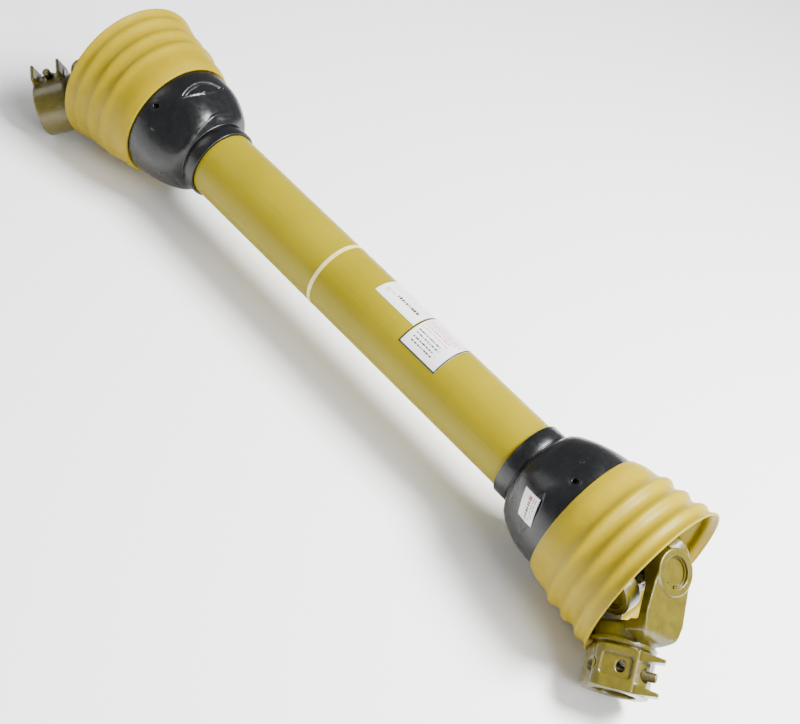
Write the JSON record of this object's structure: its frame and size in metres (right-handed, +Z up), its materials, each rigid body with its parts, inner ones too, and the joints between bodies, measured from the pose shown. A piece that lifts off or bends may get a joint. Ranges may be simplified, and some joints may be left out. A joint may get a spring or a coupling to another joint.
{
  "type": "universal joint drive shaft",
  "caption": "Telescoping drive shaft with a universal joint and quick-release splined yoke at each end, inside a plastic guard tube with black cones and ribbed flexible bells.",
  "frame": {"origin": "on the ground below the middle of the closed shaft, at the centre of its bounding box", "axes": "+X along the shaft towards the implement end, +Z up, shaft lying on its guard bells"},
  "size_m": [0.8776, 0.1716, 0.1608],
  "materials": {
    "cone_plastic": "moulded black polypropylene, half gloss",
    "bell_plastic": "flexible ochre polyethylene",
    "tube_plastic": "extruded ochre polyethylene",
    "band_film": "cream marking film",
    "label_paper": "printed label film",
    "nylon": "natural nylon",
    "yoke_enamel": "ochre enamel on forged steel",
    "seal_rubber": "nitrile rubber",
    "zinc_fitting": "zinc plated",
    "pin_steel": "machined steel",
    "forged_steel": "machined forging",
    "bearing_steel": "ground steel",
    "tube_steel": "drawn steel, oiled"
  },
  "bodies": {
    "tractor_shaft": {"outer_profile_tube": "tube_steel", "tractor_inner_yoke": "yoke_enamel", "tractor_tube_pin": "pin_steel", "tractor_inner_bearing_caps": "yoke_enamel", "tractor_inner_cap_seals": "seal_rubber", "tractor_inner_needles": "bearing_steel", "tractor_inner_circlips": "yoke_enamel"},
    "tractor_cross": {"tractor_cross": "forged_steel", "tractor_grease_nipple": "zinc_fitting"},
    "tractor_yoke": {"tractor_outer_yoke": "yoke_enamel", "tractor_outer_bearing_caps": "yoke_enamel", "tractor_outer_cap_seals": "seal_rubber", "tractor_outer_needles": "bearing_steel", "tractor_outer_circlips": "yoke_enamel", "tractor_pin_spring": "pin_steel", "tractor_pin_plug": "pin_steel"},
    "tractor_push_pin": {"tractor_push_pin": "pin_steel"},
    "tractor_guard": {"tractor_guard_cone": "cone_plastic", "tractor_guard_bell": "bell_plastic", "tractor_bearing_ring": "nylon", "outer_guard_tube": "tube_plastic", "marking_band": "band_film", "data_label": "label_paper", "warning_label": "label_paper"},
    "implement_shaft": {"inner_profile_tube": "tube_steel", "implement_inner_yoke": "yoke_enamel", "implement_tube_pin": "pin_steel", "implement_inner_bearing_caps": "yoke_enamel", "implement_inner_cap_seals": "seal_rubber", "implement_inner_needles": "bearing_steel", "implement_inner_circlips": "yoke_enamel"},
    "implement_cross": {"implement_cross": "forged_steel", "implement_grease_nipple": "zinc_fitting"},
    "implement_yoke": {"implement_outer_yoke": "yoke_enamel", "implement_outer_bearing_caps": "yoke_enamel", "implement_outer_cap_seals": "seal_rubber", "implement_outer_needles": "bearing_steel", "implement_outer_circlips": "yoke_enamel", "implement_pin_spring": "pin_steel", "implement_pin_plug": "pin_steel"},
    "implement_push_pin": {"implement_push_pin": "pin_steel"},
    "implement_guard": {"implement_guard_cone": "cone_plastic", "implement_guard_bell": "bell_plastic", "implement_bearing_ring": "nylon", "inner_guard_tube": "tube_plastic"}
  },
  "joints": [
    {"name": "telescope", "type": "slide", "parent": "tractor_shaft", "child": "implement_shaft", "axis": [1, 0, 0], "range_m": [0, 0.25]},
    {"name": "tractor_cross_pitch", "type": "hinge", "parent": "tractor_shaft", "child": "tractor_cross", "pos_m": [-0.35777, 0.00539, 0.0804], "axis": [0, -0.9895, -0.1444], "range_deg": [-65, 0]},
    {"name": "tractor_yoke_swing", "type": "hinge", "parent": "tractor_cross", "child": "tractor_yoke", "pos_m": [-0.35777, 0.00539, 0.0804], "axis": [-0.6468, -0.1101, 0.7547], "range_deg": [-75.5, 0]},
    {"name": "tractor_pin_press", "type": "slide", "parent": "tractor_yoke", "child": "tractor_push_pin", "axis": [0.0727, 0.6154, -0.7849], "range_m": [0, 0.008], "stiffness_N_per_m": 1500, "springref_m": -0.004},
    {"name": "tractor_guard_spin", "type": "hinge", "parent": "tractor_shaft", "child": "tractor_guard", "pos_m": [0, 0.00539, 0.0804], "axis": [1, 0, 0], "continuous": true},
    {"name": "implement_cross_pitch", "type": "hinge", "parent": "implement_shaft", "child": "implement_cross", "pos_m": [0.35223, 0.00539, 0.0804], "axis": [0, 0.9895, 0.1444], "range_deg": [-65, 0]},
    {"name": "implement_yoke_swing", "type": "hinge", "parent": "implement_cross", "child": "implement_yoke", "pos_m": [0.35223, 0.00539, 0.0804], "axis": [0.6468, -0.1101, 0.7547], "range_deg": [0, 75.5]},
    {"name": "implement_pin_press", "type": "slide", "parent": "implement_yoke", "child": "implement_push_pin", "axis": [-0.842, -0.4597, -0.2824], "range_m": [0, 0.008], "stiffness_N_per_m": 1500, "springref_m": -0.004},
    {"name": "implement_guard_spin", "type": "hinge", "parent": "implement_shaft", "child": "implement_guard", "pos_m": [0, 0.00539, 0.0804], "axis": [1, 0, 0], "continuous": true}
  ]
}
